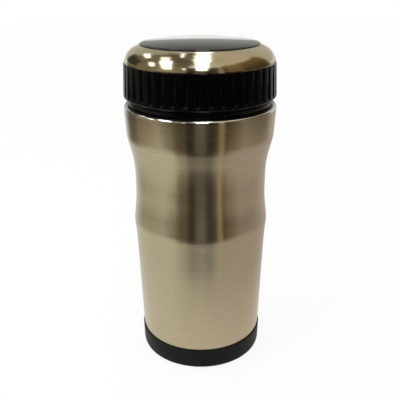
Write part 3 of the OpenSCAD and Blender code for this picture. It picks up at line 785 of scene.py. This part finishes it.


# the dim room that the steel reflects, painted as glowing cards that are no lamps: a painted reflection

# Only reflections show it. Angles are from the front, positive to the right. Each part has a wall curved
# overhead from its foot to the angle top, where it fades out. The wall's two tones run from the foot to the
# angle toneTop, or else to where it starts to fade. Most parts also have a strip of table, from the paper's
# straight edge outwards: edge metres away, facing edgeDeg, and fading in over fade metres. A part covers the
# one before it gradually, over soft degrees on either side of fromDeg; tableSides are a table's own soft
# degrees at fromDeg and toDeg
reflectedRoomGlow = {
    "ceilingLeft": {"fromDeg": -179, "toDeg": -3, "soft": 1, "foot": 50, "top": 89,
                    "wall": ("#67614f", "#67614f")},
    "ceilingRight": {"fromDeg": 12, "toDeg": 178, "soft": 6, "foot": 40, "top": 89,
                     "wall": ("#e6decb", "#cfc7b5")},
    "backLeft": {"fromDeg": -168, "toDeg": -143, "soft": 0.5, "top": 60, "wall": ("#d4d3cb", "#bcb8ad")},
    "left": {"fromDeg": -138, "toDeg": -107, "soft": 4, "top": 62, "wall": ("#8f8b75", "#7d7863"),
             "edge": 0.24, "fade": 0.12, "edgeDeg": -105, "tableSides": (12, 0),
             "table": ("#857c6b", "#665f54")},
    "leftDark": {"fromDeg": -143, "toDeg": -107, "soft": 3, "foot": 6, "top": 34,
                 "wall": ("#46483c", "#46483c")},
    "leftNear": {"fromDeg": -107, "toDeg": -69, "soft": 4, "top": 62, "wall": ("#8f8b75", "#7d7863"),
                 "edge": 0.24, "fade": 0.12, "edgeDeg": -105, "table": ("#b8ad95", "#8f8674")},
    "leftFront": {"fromDeg": -69, "toDeg": -38, "soft": 5, "top": 80, "wall": ("#bbb29b", "#67614f"),
                  "edge": 0.18, "table": ("#938b77", "#2b2923")},
    "frontLeft": {"fromDeg": -38, "toDeg": -20, "soft": 5, "top": 78, "wall": ("#a89f88", "#67614f"),
                  "edge": 0.12, "table": ("#8c836f", "#3a362e")},
    "nearLeft": {"fromDeg": -20, "toDeg": -8, "soft": 2, "top": 40, "wall": ("#36322b", "#464036"),
                 "edge": 0.12, "table": ("#322e28", "#1a1816")},
    "front": {"fromDeg": -8, "toDeg": 8, "soft": 1.5, "top": 40, "wall": ("#645f55", "#464036"),
              "edge": 0.125, "table": ("#4b463e", "#645f55")},
    "nearRight": {"fromDeg": 8, "toDeg": 20, "soft": 1.5, "top": 40, "wall": ("#36322b", "#464036"),
                  "edge": 0.12, "table": ("#322e28", "#1a1816")},
    "frontRight": {"fromDeg": 20, "toDeg": 27, "soft": 1, "top": 42, "wall": ("#585040", "#585040"),
                   "edge": 0.13, "table": ("#736958", "#373229")},
    "brightStrip": {"fromDeg": 27, "toDeg": 35, "soft": 0.6, "top": 42, "wall": ("#a8997a", "#a8997a"),
                  "edge": 0.13, "table": ("#b8aa8d", "#a8997a")},
    "pastBrightStrip": {"fromDeg": 35, "toDeg": 41, "soft": 0.6, "top": 45, "wall": ("#585040", "#76684d"),
                    "edge": 0.125, "table": ("#867c69", "#2b271e")},
    "rightFront": {"fromDeg": 41, "toDeg": 67, "soft": 3, "top": 48, "wall": ("#76684d", "#968460"),
                   "edge": 0.13, "table": ("#a59a85", "#2b271e")},
    "right": {"fromDeg": 67, "toDeg": 123, "soft": 7, "top": 50, "wall": ("#393120", "#83704b"),
              "edge": 0.34, "edgeDeg": 90, "tableSides": (7, 14), "table": ("#938772", "#6e6759")},
    "backRight": {"fromDeg": 123, "toDeg": 168, "soft": 6, "top": 60, "wall": ("#cfcabe", "#cfc9ba")},
    "back": {"fromDeg": 168, "toDeg": 192, "soft": 8, "foot": 6.5, "toneTop": 16, "top": 46,
             "wall": ("#d5d5cd", "#787873")},
}
roomShape = {
    "reach": 3.4, "nearer": 0.01,          # metres from the object, and how much nearer each next part hangs
    "lift": 0.001, "liftStep": 0.0001,     # metres above the paper, and how much higher each next part is
    "backFoot": 5.5, "topFade": 8,         # degrees: foot of a wall without a table, and a wall's fading
    "edgeFade": 0.03, "tones": (0.06, 0.2),        # metres from a table's edge: its fading in, and its tones
    "farthestEdge": 5, "narrowest": 0.01,  # how many edges away a slanting table may start, its least width
    "wallRows": 12, "columns": 18,
}


def aroundFront(distance, degrees, height):
    # a point by its angle from the front, given in metres and returned in millimetres
    angle = math.radians(degrees)
    return (distance * math.sin(angle) / mm, -distance * math.cos(angle) / mm, height / mm)


def pointing(degrees):
    # the level direction at an angle from the front
    return [v * mm for v in aroundFront(1, degrees, 0)]


def cardMaterial(name, part, sides, tones, facing, toneSpan, clearSpan):
    # a glow measured along facing: its two tones run over toneSpan, and over clearSpan it goes from clear to
    # solid; sides are half the widths in degrees of its soft sides at fromDeg and toDeg, 0 for a plain one
    material, tree = startMaterial(name)
    place = addNode(tree, "ShaderNodeTexCoord").outputs["Object"]
    middle = (part["fromDeg"] + part["toDeg"]) / 2
    ahead, aside, reach = (
        addNode(tree, "ShaderNodeVectorMath", {1: way}, {0: place}, operation="DOT_PRODUCT").outputs["Value"]
        for way in (pointing(middle), pointing(middle + 90), facing))
    turn = addNode(tree, "ShaderNodeMath", links={0: aside, 1: ahead}, operation="ARCTAN2").outputs["Value"]
    span = fromTo(clearSpan)
    solid = addNode(tree, "ShaderNodeMapRange", span, {"Value": reach}, interpolation_type="SMOOTHSTEP")
    shown = solid.outputs["Result"]
    for side, soft in ((part["fromDeg"], sides[0]), (part["toDeg"], -sides[1])):
        if not soft:
            continue
        span = fromTo([math.radians(side - middle + v) for v in (-soft, soft)])
        cover = addNode(tree, "ShaderNodeMapRange", span, {"Value": turn}, interpolation_type="SMOOTHSTEP")
        both = {0: shown, 1: cover.outputs["Result"]}
        shown = addNode(tree, "ShaderNodeMath", links=both, operation="MULTIPLY").outputs["Value"]
    where = addNode(tree, "ShaderNodeMapRange", fromTo(toneSpan), {"Value": reach}).outputs["Result"]
    ends = {colourA: toLinear(tones[0]), colourB: toLinear(tones[1])}
    tone = addNode(tree, "ShaderNodeMix", ends, {mixBy: where}, data_type="RGBA").outputs[mixedColour]
    # the card glows though it is no lamp: its tone is a painted reflection, seen only by glossy rays
    glow = addNode(tree, "ShaderNodeEmission", {"Strength": 1.0}, {"Color": tone}).outputs["Emission"]
    clear = addNode(tree, "ShaderNodeBsdfTransparent").outputs["BSDF"]
    both = addNode(tree, "ShaderNodeMixShader", links={0: shown, 1: clear, 2: glow})
    addNode(tree, "ShaderNodeOutputMaterial", links={"Surface": both.outputs["Shader"]})
    return material


def makeCard(name, span, rows, material, columns):
    # rows are the card's level lines: each gives the distance and height at an angle
    verts = []
    for k in range(columns + 1):
        degrees = span[0] + (span[1] - span[0]) * k / columns
        verts += [aroundFront(distance, degrees, height) for distance, height in rows(degrees)]
    count = len(verts) // (columns + 1)
    faces = []
    for k in range(columns):
        for i in range(count - 1):
            a, b = k * count + i, (k + 1) * count + i
            faces.append((a, b, b + 1, a + 1))
    card = meshObject(name, verts, faces)
    card.data.materials.append(material)
    card.visible_camera = card.visible_diffuse = card.visible_shadow = False
    card.visible_transmission = card.visible_volume_scatter = False


def makeRoomPart(name, part, shape, order, overlap):
    # later parts hang a little nearer, so that each one's soft side lies over the end of the part before it
    reach = shape["reach"] - shape["nearer"] * order
    lift = shape["lift"] + shape["liftStep"] * order
    foot = part.get("foot", 0 if "table" in part else shape["backFoot"])
    fadeFrom = part["top"] - shape["topFade"]

    def heightAt(degrees):
        return reach * math.sin(math.radians(degrees))

    def wallRows(degrees):
        steps = shape["wallRows"]
        rises = [foot + (part["top"] - foot) * i / steps for i in range(steps + 1)]
        return [(reach * math.cos(math.radians(rise)), heightAt(rise) + lift) for rise in rises]

    def tableRows(degrees):
        slant = max(1 / shape["farthestEdge"], math.cos(math.radians(degrees - part.get("edgeDeg", 0))))
        return [(min(reach - shape["narrowest"], part["edge"] / slant), lift), (reach, lift)]

    toneSpan = heightAt(foot), heightAt(part.get("toneTop", fadeFrom))
    clearSpan = heightAt(part["top"]), heightAt(fadeFrom)
    sides = (part["soft"], 0)
    glow = cardMaterial(name + "Wall", part, sides, part["wall"], (0, 0, 1), toneSpan, clearSpan)
    span = part["fromDeg"] - part["soft"], part["toDeg"] + overlap
    makeCard(name + "Wall", span, wallRows, glow, shape["columns"])
    if "table" in part:
        edge, facing = part["edge"], pointing(part.get("edgeDeg", 0))
        sides = part.get("tableSides", sides)
        toneSpan = [edge + v for v in shape["tones"]]
        clearSpan = (edge, edge + part.get("fade", shape["edgeFade"]))
        glow = cardMaterial(name + "Table", part, sides, part["table"], facing, toneSpan, clearSpan)
        span = part["fromDeg"] - sides[0], part["toDeg"] + max(overlap, sides[1])
        makeCard(name + "Table", span, tableRows, glow, shape["columns"])


# softboxes

# long strips that run between two directions, each a turn from the front and a rise, in degrees; wide is how
# broad one looks from the object, and distance is in metres
softboxDistance = 2.6
softboxes = {
    "softboxMain": {"start": (3, 19), "end": (4.4, 60), "wide": 15.5, "brightness": 4.0},
    "softboxMainUp": {"start": (4.4, 60), "end": (49, 87), "wide": 14.5, "brightness": 3.9},
    "softboxOver": {"start": (49, 87), "end": (175, 70), "wide": 10, "brightness": 3.7},
    "softboxTop": {"start": (175, 70), "end": (178, 46), "wide": 6, "brightness": 3.4},
    "softboxLeft": {"start": (-49, 20), "end": (-60, 43), "wide": 13.5, "brightness": 4.0},
    "softboxLeftUp": {"start": (-60, 43), "end": (-82, 58.5), "wide": 14.5, "brightness": 4.0},
    "softboxLeftTop": {"start": (-82, 58.5), "end": (-122, 62), "wide": 8, "brightness": 2.8},
    "softboxNarrow": {"start": (-128, 75), "end": (-168, 56), "wide": 1.6, "brightness": 3.2},
    "softboxGap": {"start": (-23.5, 22), "end": (-25, 32), "wide": 4, "brightness": 2.5},
    "softboxBackLeft": {"start": (-142, 42), "end": (-119, 45.5), "wide": 6, "brightness": 3.5},
    "softboxLow": {"start": (-91, 40), "end": (-77, 25), "wide": 9, "brightness": 2.8},
    "softboxBack": {"start": (166, 7.7), "end": (194, 7.7), "wide": 2.8, "brightness": 0.65},
}


def directionOf(turn, rise):
    # the direction at an angle from the front and an angle up
    level = math.cos(math.radians(rise))
    return Vector(aroundFront(level, turn, math.sin(math.radians(rise)))) * mm


def makeSoftbox(name, box):
    start, end = directionOf(*box["start"]), directionOf(*box["end"])
    outward = (start + end).normalized()
    across = (end - start).cross(outward).normalized()
    light = bpy.data.lights.new(name, "AREA")
    light.shape = "RECTANGLE"
    light.size = 2 * softboxDistance * math.tan(math.radians(box["wide"] / 2))
    light.size_y = 2 * softboxDistance * math.tan(start.angle(end) / 2)
    light.energy = box["brightness"] * math.pi * light.size * light.size_y
    lamp = bpy.data.objects.new(name, light)
    bpy.context.scene.collection.objects.link(lamp)
    lamp.rotation_euler = Matrix((across, outward.cross(across), outward)).transposed().to_euler()
    lamp.location = outward * softboxDistance


# camera, solved from the photograph

# place and clipStart are in metres, the angles in degrees, lens and sensor in millimetres
camera = {
    "place": (0, -0.3059, 0.2147), "down": 22.26, "pan": 0.053, "roll": -0.29,
    "lens": 52.69, "sensor": 36, "clipStart": 0.01,
}


def makeCamera(shot):
    data = bpy.data.cameras.new("photoView")
    data.lens, data.sensor_width, data.sensor_fit = shot["lens"], shot["sensor"], "HORIZONTAL"
    data.clip_start = shot["clipStart"]
    view = bpy.data.objects.new("photoView", data)
    bpy.context.scene.collection.objects.link(view)
    view.location = shot["place"]
    view.rotation_euler = (math.radians(90 - shot["down"]), 0, math.radians(shot["pan"]))
    view.rotation_euler.rotate_axis("Z", math.radians(shot["roll"]))
    bpy.context.scene.camera = view


bpy.context.scene.view_settings.view_transform = "Standard"
makeFloor(paperFloor)
makeWorld(whiteWorld)
# each part of the room reaches under the next one's soft side
overlaps = [part["soft"] for part in reflectedRoomGlow.values()][1:] + [0]
for order, (name, part) in enumerate(reflectedRoomGlow.items()):
    makeRoomPart(name, part, roomShape, order, overlaps[order])
for name, box in softboxes.items():
    makeSoftbox(name, box)
makeCamera(camera)
print("studio made")
